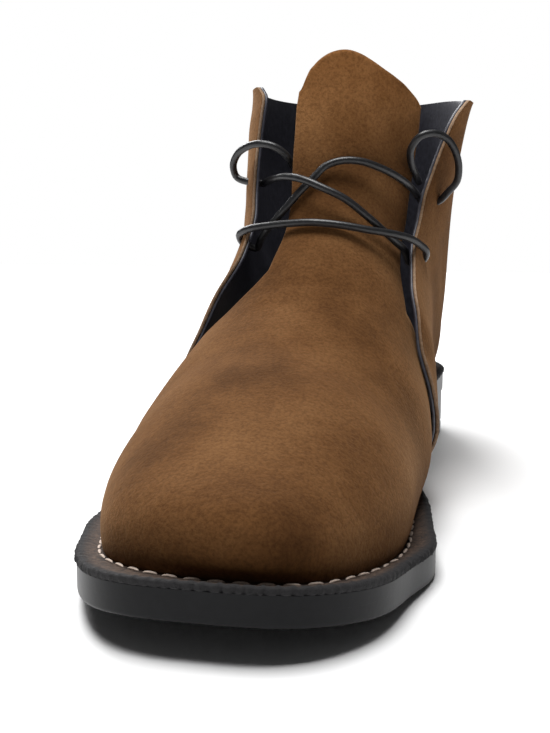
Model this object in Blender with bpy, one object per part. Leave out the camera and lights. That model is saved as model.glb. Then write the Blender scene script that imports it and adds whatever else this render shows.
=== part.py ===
"""Chukka boot, the right boot of a pair, empty and standing on its sole.

Metres, +Z up. The toe points to -Y, the little-toe (lateral) side is -X and the big-toe
(medial) side is +X. The origin is on the floor, under the middle of the heel's tread.

The upper, the tongue, the welt and the insole are all cut from one surface, the last:
closed loops that stand upright at the toe and lean back until they lie level at the collar.
"""
import math

import bmesh
import bpy
import numpy as np
from mathutils import Matrix, Vector

for old in list(bpy.data.objects):
    bpy.data.objects.remove(old, do_unlink=True)

# Sole
LENGTH = 0.300            # outsole, back of the heel to the tip of the toe
BALL_WIDTH = 0.109        # outsole across the ball of the foot
HEEL_WIDTH = 0.069        # outsole across the heel
HEEL_REACH = 0.038        # back of the outsole behind the origin
HEEL_HEIGHT = 0.021       # heel block, floor to outsole
HEEL_LENGTH = 0.078       # heel block, back to breast
HEEL_TAPER = 0.0015       # heel block, drawn in at the floor
TOE_SPRING = 0.0105       # tip of the outsole above the floor
OUTSOLE_THICKNESS = 0.0046
MIDSOLE_THICKNESS = 0.0032
WELT_THICKNESS = 0.0022
INSOLE_THICKNESS = 0.0030
EDGE_ROUND = 0.0008       # how far each layer's side is rounded off at its corners
MIDSOLE_INSET = 0.0006    # side of the midsole inside the outsole's
HEEL_INSET = 0.0005       # top of the heel block inside the outsole's side
WELT_REACH = 0.0002       # side of the welt outside the outsole's

# Upper
UPPER_WIDTH = 0.093       # upper across the ball of the foot
ANKLE_WIDTH = 0.077       # upper across the ankle, under the quarters
INSTEP_HEIGHT = 0.0823    # top of the instep above the insole's bed, at the throat
SHAFT_HEIGHT = 0.123      # collar above the insole's bed, at the back
TUCK = 0.009              # how far the last's loops reach below the insole's bed
WALL = 0.0022             # suede and lining together
LAP = 0.0004              # how far the quarters press into the vamp they are sewn to
STAND = 0.0026            # how far the quarters' front edges stand off the vamp
MEDIAL_FLARE = 0.008      # how far the quarters' front corners open outwards
LATERAL_FLARE = -0.003
MEDIAL_DROP = 0.0045      # how far the medial corner dips below the collar
CORNER = 12.0             # rounding of those corners, in degrees round the last
TONGUE_SINK = 0.0015      # how far the tongue lies inside the last
HOLE_DIAMETER = 0.0048

# Laces
LACE_DIAMETER = 0.0028
LACE_STEP = 0.0030        # between the points of a lace

CLEARANCE = 0.0003        # between pieces that touch

# Outline of the sole. along: share of LENGTH from the back. centre: share of BALL_WIDTH.
# heel, ball: shares of HEEL_WIDTH and BALL_WIDTH in the full width.
SOLE_ROWS = (
    (0.00, 0.000, 1.00, 0.00),
    (0.12, 0.000, 1.00, 0.00),
    (0.22, -0.006, 0.98, 0.00),
    (0.32, -0.028, 0.88, 0.08),
    (0.42, -0.072, 0.60, 0.32),
    (0.52, -0.086, 0.27, 0.63),
    (0.62, -0.084, 0.05, 0.88),
    (0.70, -0.087, 0.00, 0.98),
    (0.76, -0.076, 0.00, 1.00),
    (0.84, -0.068, 0.00, 0.93),
    (0.92, -0.054, 0.00, 0.90),
    (1.00, -0.062, 0.00, 0.86),
)
HEEL_ROUNDING = (0.12, 2.1)     # share of LENGTH that the round back takes, and its fullness
TOE_ROUNDING = (0.34, 3.1)     # the same at the toe
WAIST = (0.22, 0.50)            # where the sole falls from the heel to the tread
TREAD_END = 0.70                # where the toe starts to lift
SPRING_POWER = 1.8

# The last. One row for each loop, from the toe (0) to above the collar (16).
# sole, front: shares of LENGTH from the back, at the loop's low and high end.
# tuck: share of TUCK below the bed. back, shaft: shares of SHAFT_HEIGHT. instep: of INSTEP_HEIGHT.
# ball, ankle: shares of UPPER_WIDTH and ANKLE_WIDTH in the full width.
# foot, centre: middle of the loop at its low and high end, shares of UPPER_WIDTH.
# widest: share of the loop's height. crown, base: fullness of its upper and lower half.
LAST_COLUMNS = ("sole", "tuck", "back", "front", "instep", "shaft", "ball", "ankle",
                "foot", "centre", "widest", "crown", "base")
LAST_ROWS = (
    (0.977, 1.0, 0.000, 0.977, 0.340, 0.000, 1.00, 0.00, 0.000, 0.000, 0.40, 2.2, 3.2),
    (0.910, 1.0, 0.000, 0.910, 0.385, 0.000, 0.99, 0.00, -0.065, -0.061, 0.40, 2.2, 3.3),
    (0.827, 1.0, 0.000, 0.827, 0.490, 0.000, 0.995, 0.00, -0.077, -0.069, 0.38, 2.1, 3.4),
    (0.743, 1.0, 0.000, 0.745, 0.600, 0.000, 1.01, 0.00, -0.092, -0.075, 0.36, 2.0, 3.2),
    (0.660, 1.0, 0.000, 0.668, 0.680, 0.000, 1.06, 0.00, -0.120, -0.090, 0.34, 1.9, 2.8),
    (0.567, 1.0, 0.000, 0.600, 0.795, 0.000, 1.07, 0.00, -0.116, -0.080, 0.34, 1.9, 2.3),
    (0.460, 1.0, 0.000, 0.550, 0.925, 0.000, 0.72, 0.32, -0.102, -0.070, 0.37, 1.9, 2.0),
    (0.343, 1.0, 0.000, 0.512, 1.000, 0.051, 0.28, 0.67, -0.066, -0.056, 0.44, 2.0, 2.1),
    (0.210, 1.0, 0.000, 0.484, 1.000, 0.154, 0.05, 0.85, -0.028, -0.056, 0.50, 2.1, 2.4),
    (0.087, 1.0, 0.000, 0.466, 1.000, 0.234, 0.00, 0.92, -0.004, -0.060, 0.55, 2.2, 2.7),
    (0.024, 0.0, 0.036, 0.456, 1.000, 0.295, 0.00, 0.94, 0.000, -0.060, 0.58, 2.2, 2.4),
    (0.016, 0.0, 0.190, 0.449, 1.000, 0.343, 0.00, 0.96, 0.000, -0.056, 0.58, 2.2, 2.1),
    (0.020, 0.0, 0.394, 0.444, 1.000, 0.388, 0.00, 0.98, -0.010, -0.052, 0.56, 2.2, 2.0),
    (0.029, 0.0, 0.605, 0.441, 1.000, 0.429, 0.00, 1.00, -0.020, -0.046, 0.54, 2.2, 2.1),
    (0.032, 0.0, 0.810, 0.439, 1.000, 0.461, 0.00, 1.00, -0.020, -0.040, 0.52, 2.2, 2.1),
    (0.031, 0.0, 1.000, 0.438, 1.000, 0.486, 0.00, 1.00, -0.020, -0.036, 0.52, 2.2, 2.1),
    (0.027, 0.0, 1.140, 0.439, 1.000, 0.600, 0.00, 1.02, -0.020, -0.030, 0.52, 2.2, 2.1),
)
TOE_LOOPS = 3.0                 # the loops up to this one close to the tip of the toe
TOE_FULLNESS = (1.9, 2.5)       # fullness of that closing across and upwards
NOSE = 0.13                     # height of the tip, a share of INSTEP_HEIGHT
COLLAR = 15.0                   # the loop that the collar follows

# Cut edges on the last, as loops and angles.
# Rear edge of the vamp: the throat, where the tongue goes on, and its two sides.
VAMP_EDGE = (
    (-90.0, 6.30), (12.0, 6.30), (30.0, 6.60), (100.0, 6.60), (107.0, 6.45), (113.0, 6.05), (124.0, 5.60),
    (132.0, 5.50), (146.0, 5.66), (160.0, 5.90), (172.0, 6.30), (190.0, 6.30), (270.0, 6.30),
)
# Front edge of the quarters, from the side seam to the collar: medial loop and angle,
# lateral loop and angle.
QUARTER_EDGE = (
    (5.75, 10.0, 5.85, 162.0),
    (5.92, 24.0, 6.03, 150.5),
    (6.30, 32.0, 6.35, 140.0),
    (6.80, 36.0, 6.80, 130.5),
    (7.50, 36.0, 7.50, 129.0),
    (9.00, 35.0, 9.00, 129.0),
    (11.0, 34.0, 11.0, 129.0),
    (13.0, 34.0, 13.0, 129.0),
    (15.0, 34.0, 15.0, 129.0),
)
# Lace holes in the quarters: name, loop, share of the way round from the medial edge.
HOLES = (
    ("medial low", 8.1, 0.036),
    ("medial high", 10.4, 0.036),
    ("lateral low", 7.7, 0.966),
    ("lateral high", 10.0, 0.966),
)
TONGUE_SEAM = 0.045             # gap between the vamp and the tongue, in loops
# The lace's own line. A row is loop, angle and height above the last, or a hole's name and
# the distance through it, from the middle of the wall outwards.
# Both crossings and the bar between them are one length of lace.
LACE_CROSSINGS = (
    (10.22, 30.5, -0.0002), (10.14, 34.5, 0.0006), (10.02, 40.0, 0.0014), (9.88, 47.0, 0.0021),
    (9.72, 58.0, 0.0024), (9.60, 70.0, 0.0020), (9.43, 78.7, 0.0014), (9.13, 87.1, 0.0009),
    (8.76, 92.5, 0.0007), (8.27, 101.9, 0.0006), (7.86, 112.0, 0.0004), (7.76, 122.0, -0.0004),
    (7.72, 131.0, -0.0007), ("lateral low", -0.0020), ("lateral low", 0.0), ("lateral low", 0.0026),
    (7.69, 134.2, 0.0070), (7.64, 129.5, 0.0068), (7.58, 124.5, 0.0056), (7.52, 118.0, 0.0034),
    (7.41, 106.0, 0.0014), (7.35, 92.0, 0.0009), (7.36, 78.0, 0.0010), (7.47, 62.5, 0.0024),
    (7.68, 50.0, 0.0046), (7.86, 42.0, 0.0062), (8.00, 36.0, 0.0068), (8.08, 30.0, 0.0071),
    ("medial low", 0.0028), ("medial low", 0.0), ("medial low", -0.0020),
    (8.06, 30.5, -0.0005), (7.98, 35.0, 0.0006), (7.88, 42.0, 0.0007), (7.80, 51.6, 0.0012),
    (7.84, 63.7, 0.0022), (8.01, 75.7, 0.0036), (8.20, 86.4, 0.0043), (8.50, 96.8, 0.0044),
    (8.88, 108.6, 0.0026), (9.20, 119.0, 0.0006), (9.48, 126.5, -0.0003), (9.70, 132.0, -0.0006),
)
# From the end of a crossing, behind the quarter, out through the top hole, up and over the
# front edge and back inside.
LACE_LOOP_MEDIAL = (
    (10.22, 30.5, -0.0002), (10.27, 29.0, -0.0004), ("medial high", -0.0022), ("medial high", 0.0),
    ("medial high", 0.0030), (10.72, 26.6, 0.0110), (11.00, 27.6, 0.0140), (11.38, 30.2, 0.0156),
    (11.82, 33.8, 0.0158), (12.28, 38.5, 0.0143), (12.27, 43.2, 0.0118), (11.88, 46.6, 0.0092),
    (11.31, 46.5, 0.0054), (10.92, 42.0, 0.0026), (10.78, 36.5, 0.0013), (10.72, 31.5, 0.0004),
)
LACE_LOOP_LATERAL = (
    (9.70, 132.0, -0.0006), (9.77, 133.5, -0.0006), ("lateral high", -0.0022), ("lateral high", 0.0),
    ("lateral high", 0.0030), (10.45, 141.2, 0.0092), (10.76, 139.2, 0.0108), (11.03, 135.1, 0.0106),
    (11.07, 129.0, 0.0090), (10.92, 122.8, 0.0067), (10.56, 117.0, 0.0030), (10.18, 114.5, -0.0012),
    (9.82, 116.5, -0.0064),
)
# Top edge of the tongue.
TONGUE_TOP = (
    (34.0, 13.9), (40.0, 14.45), (46.0, 14.90), (53.0, 15.18), (60.0, 15.38), (67.0, 15.57),
    (74.0, 15.73), (81.0, 15.82), (88.0, 15.80), (94.0, 15.70), (100.0, 15.50), (104.0, 15.28),
    (107.0, 14.85), (109.0, 14.2),
)


def smooth(rows, at):
    """Each column of a table as a smooth curve over its first column, read at `at`."""
    rows = np.asarray(rows, float)
    keys = rows[:, 0]
    slopes = np.gradient(rows[:, 1:], keys, axis=0)
    at = np.clip(at, keys[0], keys[-1])
    left = np.clip(np.searchsorted(keys, at, side="right") - 1, 0, len(keys) - 2)
    gap = keys[left + 1] - keys[left]
    t = (at - keys[left]) / gap
    low, high = rows[left, 1:], rows[left + 1, 1:]
    t, gap = t[..., None], gap[..., None]
    return (low * (2 * t**3 - 3 * t**2 + 1) + high * (3 * t**2 - 2 * t**3)
            + slopes[left] * gap * (t**3 - 2 * t**2 + t) + slopes[left + 1] * gap * (t**3 - t**2))


def ease(value, start, end):
    """0 before start, 1 after end, and a soft S between them."""
    t = np.clip((value - start) / (end - start), 0.0, 1.0)
    return t * t * (3 - 2 * t)


def rounding(distance, reach, power):
    """Width share near a round end: 0 at its tip, 1 from `reach` on."""
    t = 1 - np.clip(distance / reach, 0.0, 1.0)
    return (1 - t**power)**(1 / power)


def y_at(along):
    """Place along the boot of a share of its length from the back."""
    return HEEL_REACH - along * LENGTH


def tread(y):
    """Height of the outsole's underside: up over the heel, flat at the ball, up at the toe."""
    along = (HEEL_REACH - y) / LENGTH
    heel = HEEL_HEIGHT * (1 - ease(along, *WAIST))
    lift = np.clip((along - TREAD_END) / (1 - TREAD_END), 0.0, None)**SPRING_POWER
    return heel + TOE_SPRING * lift


def midsole_bed(y):
    """Underside of the midsole."""
    return tread(y) + OUTSOLE_THICKNESS + CLEARANCE


def bed(y):
    """What the insole, the welt and the upper stand on, just clear of the midsole."""
    return midsole_bed(y) + MIDSOLE_THICKNESS + CLEARANCE


def last_point(loop, angle):
    """Point of the last. Loop: 0 at the toe to 16 above the collar. Angle, in degrees: 0 at
    the medial side, 90 on the ridge, 180 at the lateral side, 270 below or at the back.
    Each loop is a superellipse between its low and its high point."""
    table = np.column_stack([np.arange(len(LAST_ROWS)), np.asarray(LAST_ROWS)])
    values = smooth(table, loop)
    row = {name: values[..., i] for i, name in enumerate(LAST_COLUMNS)}
    low_y, high_y = y_at(row["sole"]), y_at(row["front"])
    low_z = bed(low_y) - row["tuck"] * TUCK + row["back"] * SHAFT_HEIGHT
    high_z = bed(high_y) + row["instep"] * INSTEP_HEIGHT + row["shaft"] * SHAFT_HEIGHT
    half = (row["ball"] * UPPER_WIDTH + row["ankle"] * ANKLE_WIDTH) / 2

    nose = bed(low_y) + NOSE * INSTEP_HEIGHT
    half = half * rounding(loop, TOE_LOOPS, TOE_FULLNESS[0])
    upwards = rounding(loop, TOE_LOOPS, TOE_FULLNESS[1])
    low_z = np.where(loop < TOE_LOOPS, nose + (low_z - nose) * upwards, low_z)
    high_z = np.where(loop < TOE_LOOPS, nose + (high_z - nose) * upwards, high_z)

    across, up = np.cos(np.radians(angle)), np.sin(np.radians(angle))
    power = np.where(up >= 0, row["crown"], row["base"])
    radius = (np.abs(across)**power + np.abs(up)**power)**(-1 / power)
    share = row["widest"] + np.where(up >= 0, 1 - row["widest"], row["widest"]) * radius * up
    middle = row["foot"] + (row["centre"] - row["foot"]) * share
    return np.stack([
        middle * UPPER_WIDTH + half * radius * across,
        low_y + (high_y - low_y) * share,
        low_z + (high_z - low_z) * share,
    ], axis=-1)


def last_shell(loop, angle, lift):
    """Point at a height above the last, measured square to its surface."""
    loop, angle, lift = np.broadcast_arrays(loop, angle, lift)
    step = 0.05
    along = last_point(loop + step, angle) - last_point(loop - step, angle)
    around = last_point(loop, angle + 10 * step) - last_point(loop, angle - 10 * step)
    normal = np.cross(along, around)
    normal /= np.linalg.norm(normal, axis=-1, keepdims=True)
    return last_point(loop, angle) + lift[..., None] * normal


def material(name, colour, roughness, metallic=0.0):
    made = bpy.data.materials.new(name)
    made.use_nodes = True
    shader = made.node_tree.nodes["Principled BSDF"]
    shader.inputs["Base Color"].default_value = (*colour, 1.0)
    shader.inputs["Roughness"].default_value = roughness
    shader.inputs["Metallic"].default_value = metallic
    return made


def new_object(name, bm, collection, look=None):
    """A closed mesh becomes an object, with its faces turned outwards."""
    bmesh.ops.recalc_face_normals(bm, faces=bm.faces[:])
    mesh = bpy.data.meshes.new(name)
    bm.to_mesh(mesh)
    bm.free()
    made = bpy.data.objects.new(name, mesh)
    collection.objects.link(made)
    if look:
        mesh.materials.append(look)
        mesh.shade_smooth()
        mesh.set_sharp_from_angle(angle=math.radians(35))
    else:
        made.hide_render = True
        made.display_type = "WIRE"
    return made


def loft(sections, flat_ends=True):
    """A closed body through sections that have the same number of points each. The ends are
    flat, or for a thin bent wall, whose section runs up one side and back down the other,
    they are bands across its thickness."""
    bm = bmesh.new()
    rings = [[bm.verts.new(point) for point in section] for section in sections]
    count = len(rings[0])
    for near, far in zip(rings, rings[1:]):
        for i in range(count):
            j = (i + 1) % count
            bm.faces.new((near[i], near[j], far[j], far[i]))
    for ring in (rings[0], rings[-1]):
        if flat_ends:
            bm.faces.new(ring)
        else:
            for i in range(count // 2 - 1):
                bm.faces.new((ring[i], ring[i + 1], ring[count - 2 - i], ring[count - 1 - i]))
    return bm


def sheet(loops, angles, inner, outer):
    """A wall that follows the last over a grid of loops and angles, closed along its edges."""
    top = last_shell(loops, angles, outer)
    bottom = last_shell(loops, angles, inner)
    return slab(top, bottom)


def slab(top, bottom):
    """A closed wall between two grids of points of one shape."""
    sections = [np.concatenate([above, below[::-1]]) for above, below in zip(top, bottom)]
    return loft(sections, flat_ends=False)


def tube(loops, angles, inner, outer):
    """A wall round the whole last, closed at the toe and open at its other end."""
    bm = bmesh.new()
    walls = []
    for lift in (outer, inner):
        grid = last_shell(loops, angles, lift)
        walls.append([[bm.verts.new(point) for point in ring] for ring in grid])
    count = loops.shape[1]
    for rings in walls:
        bm.faces.new(rings[0])
        for near, far in zip(rings, rings[1:]):
            for i in range(count):
                j = (i + 1) % count
                bm.faces.new((near[i], near[j], far[j], far[i]))
    outer_end, inner_end = walls[0][-1], walls[1][-1]
    for i in range(count):
        j = (i + 1) % count
        bm.faces.new((outer_end[i], outer_end[j], inner_end[j], inner_end[i]))
    return bm


def boolean(target, tool, operation):
    cut = target.modifiers.new(operation.title() + " " + tool.name, "BOOLEAN")
    cut.operation = operation
    cut.object = tool
    return cut


# Sole


def sole_edge(along, outset):
    """Lateral and medial points of the sole's outline, moved outwards by `outset`."""
    values = smooth(SOLE_ROWS, along)
    half = (values[..., 1] * HEEL_WIDTH + values[..., 2] * BALL_WIDTH) / 2
    half = half * rounding(along, *HEEL_ROUNDING) * rounding(1 - along, *TOE_ROUNDING)
    edges = []
    for side in (-1, 1):
        edge = np.column_stack([values[..., 0] * BALL_WIDTH + side * half, y_at(along)])
        direction = np.gradient(edge, axis=0)
        outwards = np.column_stack([-direction[:, 1], direction[:, 0]]) * side
        outwards /= np.linalg.norm(outwards, axis=1, keepdims=True)
        edges.append(edge + outset * outwards)
    return edges


def stations(count, start=0.0, end=1.0):
    """Shares of the length from heel to toe, close together at the round ends."""
    turn = np.linspace(0.035, math.pi - 0.035, count)
    along = (1 - np.cos(turn)) / 2
    return np.unique(np.clip(along, start, end))


def sole_layer(along, low, high, profile):
    """A layer of the sole between two heights. Profile: rows of height share and outset."""
    sides = [sole_edge(along, outset) for share, outset in profile]
    sections = []
    for i in range(len(along)):
        section = []
        for side in (0, 1):
            rows = range(len(profile)) if side == 0 else reversed(range(len(profile)))
            for k in rows:
                x, y = sides[k][side][i]
                share = profile[k][0]
                z = low(y) + (high(y) - low(y)) * share
                section.append((x, y, z))
        sections.append(section)
    return loft(sections)


def rounded_side(outset=0.0):
    """Side of a layer with both its corners rounded off."""
    return (
        (0.0, outset - EDGE_ROUND),
        (0.22, outset),
        (0.78, outset),
        (1.0, outset - EDGE_ROUND),
    )


def build_sole(parts, cutters, looks):
    along = stations(38)
    outsole = sole_layer(along, tread, lambda y: tread(y) + OUTSOLE_THICKNESS, rounded_side())
    new_object("outsole", outsole, parts, looks["rubber"])

    midsole = sole_layer(along, midsole_bed, lambda y: midsole_bed(y) + MIDSOLE_THICKNESS,
                         rounded_side(-MIDSOLE_INSET))
    new_object("midsole", midsole, parts, looks["rubber"])

    breast = HEEL_LENGTH / LENGTH
    heel_along = stations(38, end=breast)
    heel_sides = ((0.0, -HEEL_TAPER - EDGE_ROUND), (0.06, -HEEL_TAPER), (1.0, -HEEL_INSET))
    heel = sole_layer(heel_along, lambda y: 0.0 * y, lambda y: tread(y) - CLEARANCE, heel_sides)
    new_object("heel", heel, parts, looks["rubber"])

    welt = new_object("welt", sole_layer(along, bed, lambda y: bed(y) + WELT_THICKNESS,
                                         rounded_side(WELT_REACH)), parts, looks["welt"])
    boolean(welt, vamp_space(cutters), "DIFFERENCE")
    boolean(welt, quarter_space(cutters), "DIFFERENCE")

    insole = new_object("insole", sole_layer(along, bed, lambda y: bed(y) + INSOLE_THICKNESS,
                                             ((0.0, 0.0), (1.0, 0.0))), parts, looks["insole"])
    boolean(insole, foot_space(cutters), "INTERSECT")


# The spaces that the upper leaves for the pieces round it

ROUND = np.concatenate([np.arange(-60, 0, 5.0), np.arange(0, 28, 9.0), np.arange(34, 142, 7.5),
                        np.arange(148, 178, 8.0), np.arange(180, 241, 5.0), [270]])
TOE_TIP_LOOPS = np.array([0.004, 0.03, 0.10, 0.22, 0.42, 0.70])
HEEL_LOOPS = np.linspace(7.0, 11.0, 13)[:-1]


def last_body(name, lift, cutters, first=0.0, last=COLLAR):
    loops = np.concatenate([TOE_TIP_LOOPS, np.arange(1.0, 7.0, 0.25), HEEL_LOOPS,
                            np.arange(11.0, last + 0.01, 0.5)])
    loops = np.unique(np.clip(loops, first, last))
    loops, angles = np.meshgrid(loops, np.arange(0, 360, 5.0), indexing="ij")
    return new_object(name, loft(last_shell(loops, angles, lift(loops))), cutters)


def vamp_space(cutters):
    return last_body("vamp space", lambda loops: CLEARANCE + 0 * loops, cutters)


def quarter_space(cutters):
    lift = WALL - LAP + CLEARANCE
    return last_body("quarter space", lambda loops: lift * np.ones_like(loops), cutters,
                     first=5.55)


def foot_space(cutters):
    vamp, quarter = -WALL - 2 * CLEARANCE, -LAP - 2 * CLEARANCE
    return last_body("foot space", lambda loops: vamp + (quarter - vamp) * ease(loops, 6.8, 7.8),
                     cutters)


# Upper


def vamp():
    """The vamp goes all round the last, and its lower part is cut off at the insole's bed."""
    angles = ROUND
    table = np.asarray(VAMP_EDGE)
    folded = np.where(angles > 270, angles - 360, angles)
    end = np.interp(folded, table[:, 0], table[:, 1])
    share = np.linspace(0, 1, 14)[1:, None]
    rear = 1.0 + (end - 1.0) * share
    loops = np.concatenate([np.repeat([*TOE_TIP_LOOPS, 1.0], len(angles)).reshape(-1, len(angles)),
                            rear])
    return tube(loops, np.broadcast_to(angles, loops.shape), -WALL, 0.0)


def quarter_grid(columns):
    """Loops and angles over the quarters, from the medial front edge round the back."""
    table = np.asarray(QUARTER_EDGE)
    keys = np.arange(len(table))
    rows = np.concatenate([[table[0, 2], 6.05, 6.3, 6.6], HEEL_LOOPS, [11.0, 11.7, 12.4],
                           np.linspace(COLLAR - 2, COLLAR, 6)])
    at = np.interp(rows, table[:, 2], keys)
    edge = smooth(np.column_stack([keys, table]), at)
    corner = 1 - np.sqrt(1 - np.clip((edge[:, 0] - COLLAR + 2) / 2, 0, 1)**2 * 0.98)
    medial = edge[:, 1] - CORNER * corner
    lateral = edge[:, 3] + CORNER * corner - 360
    share = np.linspace(0, 1, columns)
    loops = edge[:, :1] + (edge[:, 2:3] - edge[:, :1]) * share
    angles = medial[:, None] + (lateral - medial)[:, None] * share
    return loops, angles, share


def opened(points, loops, share):
    """The quarters' front edges stand off the vamp and their top corners open outwards."""
    rise = ease(loops, 8.0, 15.5)**1.5
    medial = ease(share, 0.32, 0.0)**1.5
    lateral = ease(share, 0.68, 1.0)**1.5
    points = points.copy()
    points[..., 0] += rise * (MEDIAL_FLARE * medial - LATERAL_FLARE * lateral)
    points[..., 1] += rise * MEDIAL_FLARE * 0.25 * medial
    points[..., 2] -= rise * MEDIAL_DROP * medial
    return points


def quarter_wall(columns=33):
    loops, angles, share = quarter_grid(columns)
    front = ease(share, 0.16, 0.0) + ease(share, 0.84, 1.0)
    stand = STAND * front * ease(loops, 5.95, 6.6)
    outer = opened(last_shell(loops, angles, WALL - LAP + stand), loops, share)
    inner = opened(last_shell(loops, angles, stand - LAP), loops, share)
    return slab(outer, inner)


def quarter_place(loop, share):
    """Middle of the quarters' wall at a loop and a share of the way round, and the way out."""
    table = np.asarray(QUARTER_EDGE)
    edge = smooth(np.column_stack([table[:, 0], table[:, 1::2]]), np.array([loop]))[0]
    angle = edge[0] + (edge[1] - 360 - edge[0]) * share
    faces = [opened(last_shell(loop, angle, lift)[None], np.array([loop]), np.array([share]))[0]
             for lift in (0.0, WALL)]
    return (faces[0] + faces[1]) / 2, (faces[1] - faces[0]) / WALL


def lace_holes(cutters):
    """Four punches, each square to the wall of the quarters."""
    punches = []
    for name, loop, share in HOLES:
        middle, outwards = quarter_place(loop, share)
        bm = bmesh.new()
        bmesh.ops.create_cone(bm, cap_ends=True, segments=12, radius1=HOLE_DIAMETER / 2,
                              radius2=HOLE_DIAMETER / 2, depth=8 * WALL)
        turn = Vector((0, 0, 1)).rotation_difference(Vector(outwards)).to_matrix().to_4x4()
        bmesh.ops.transform(bm, matrix=Matrix.Translation(Vector(middle)) @ turn, verts=bm.verts)
        punches.append(new_object("punch " + name, bm, cutters))
    return punches


def build_upper(parts, cutters, looks):
    upper = new_object("upper", vamp(), parts, looks["suede"])
    quarters = new_object("quarters", quarter_wall(), cutters)
    below = sole_layer(stations(38), lambda y: bed(y) - 0.05, bed, ((0.0, 0.03), (1.0, 0.03)))
    below = new_object("below the bed", below, cutters)
    boolean(upper, quarters, "UNION")
    boolean(upper, below, "DIFFERENCE")
    for punch in lace_holes(cutters):
        boolean(upper, punch, "DIFFERENCE")


def build_tongue(parts, looks):
    angles = ROUND[(ROUND >= TONGUE_TOP[0][0]) & (ROUND <= TONGUE_TOP[-1][0])]
    top = np.interp(angles, *np.asarray(TONGUE_TOP).T)
    base = np.interp(angles, *np.asarray(VAMP_EDGE).T) + TONGUE_SEAM
    share = np.linspace(0, 1, 14)[:, None]
    loops = base + (top - base) * share
    sink = -TONGUE_SINK * ease(loops, 6.6, 7.6)
    new_object("tongue", sheet(loops, np.broadcast_to(angles, loops.shape), sink - WALL, sink),
               parts, looks["suede"])


# Laces


def lace_point(row):
    """Place of one row of a lace's line."""
    if isinstance(row[0], str):
        place = {name: (loop, share) for name, loop, share in HOLES}[row[0]]
        middle, outwards = quarter_place(*place)
        return middle + row[1] * outwards
    return last_shell(*[np.float64(value) for value in row])


def lace_line(rows, first=0.0):
    """Evenly spaced points on a smooth curve through the rows, starting `first` along it."""
    points = np.array([lace_point(row) for row in rows])
    steps = np.linalg.norm(np.diff(points, axis=0), axis=1)
    table = np.column_stack([np.concatenate([[0], np.cumsum(steps)]), points])
    fine = smooth(table, np.linspace(0, table[-1, 0], 40 * len(rows)))
    travelled = np.concatenate([[0], np.cumsum(np.linalg.norm(np.diff(fine, axis=0), axis=1))])
    count = int(round((travelled[-1] - first) / LACE_STEP)) + 1
    at = np.linspace(first, travelled[-1], count)
    return np.column_stack([np.interp(at, travelled, fine[:, axis]) for axis in range(3)])


def lace(name, line, collection, look):
    curve = bpy.data.curves.new(name, "CURVE")
    curve.dimensions = "3D"
    curve.bevel_depth = LACE_DIAMETER / 2
    curve.bevel_resolution = 2
    curve.use_fill_caps = True
    spline = curve.splines.new("POLY")
    spline.points.add(len(line) - 1)
    spline.points.foreach_set("co", np.column_stack([line, np.ones(len(line))]).ravel())
    curve.materials.append(look)
    made = bpy.data.objects.new(name, curve)
    collection.objects.link(made)


def build_laces(parts, looks):
    lace("lace_crossings", lace_line(LACE_CROSSINGS), parts, looks["lace"])
    lace("lace_loop_medial", lace_line(LACE_LOOP_MEDIAL, CLEARANCE), parts, looks["lace"])
    lace("lace_loop_lateral", lace_line(LACE_LOOP_LATERAL, CLEARANCE), parts, looks["lace"])


parts = bpy.data.collections.new("chukka boot")
cutters = bpy.data.collections.new("cutters")
bpy.context.scene.collection.children.link(parts)
bpy.context.scene.collection.children.link(cutters)
looks = {
    "suede": material("suede", (0.13, 0.065, 0.028), 0.95),
    "rubber": material("black rubber", (0.012, 0.012, 0.013), 0.45),
    "welt": material("welt", (0.045, 0.028, 0.018), 0.8),
    "insole": material("insole leather", (0.10, 0.075, 0.055), 0.7),
    "lace": material("waxed cord", (0.012, 0.012, 0.014), 0.4),
}
build_sole(parts, cutters, looks)
build_upper(parts, cutters, looks)
build_tongue(parts, looks)
build_laces(parts, looks)
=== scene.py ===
# %% [markdown]
# # A brown suede chukka boot
# The boot stands empty and loosely laced, seen from the front and a little above. This lesson
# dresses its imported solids: suede, lining, welt, stitches, rubber and waxed laces. Each new
# piece is a surface worked out from a formula, on the same last that the solids are cut from.

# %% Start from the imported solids
import math

import bpy
import numpy as np
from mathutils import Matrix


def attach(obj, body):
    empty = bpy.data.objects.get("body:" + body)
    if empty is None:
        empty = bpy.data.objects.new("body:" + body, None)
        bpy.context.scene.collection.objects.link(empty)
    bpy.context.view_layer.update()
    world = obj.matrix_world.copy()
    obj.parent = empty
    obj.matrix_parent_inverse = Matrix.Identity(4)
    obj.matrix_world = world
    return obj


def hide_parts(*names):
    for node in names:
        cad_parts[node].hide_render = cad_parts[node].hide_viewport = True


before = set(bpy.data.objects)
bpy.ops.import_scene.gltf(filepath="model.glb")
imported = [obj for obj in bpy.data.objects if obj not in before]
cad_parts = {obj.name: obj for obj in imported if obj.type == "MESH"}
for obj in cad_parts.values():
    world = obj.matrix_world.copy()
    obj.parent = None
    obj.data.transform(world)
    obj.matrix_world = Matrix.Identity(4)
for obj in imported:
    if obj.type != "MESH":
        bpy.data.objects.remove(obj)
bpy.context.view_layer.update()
print("solids:", sorted(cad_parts))

# %% [markdown]
# ## Camera
# The picture looks along the foot from in front of the toes and a little from the medial side.
# A camera's place decides which surfaces it sees; turning and zooming only choose what part of
# them fills the frame. So the place comes first, then the turn, then the lens in pixels.

# %% Camera
FRAME_HEIGHT = 733                   # pixels of the picture, from top to bottom
CAMERA_PLACE = np.array([0.066, -0.497, 0.114])
CAMERA_YAW = math.radians(12.6)      # turned from +Y towards the lateral side
CAMERA_PITCH = math.radians(9.4)     # looking down
FOCAL_PIXELS = 1075.0
SENSOR = 36.0


def add_object(name, data):
    """An object in the scene that shows the data, at the origin and unturned."""
    made = bpy.data.objects.new(name, data)
    bpy.context.scene.collection.objects.link(made)
    return made


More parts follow.
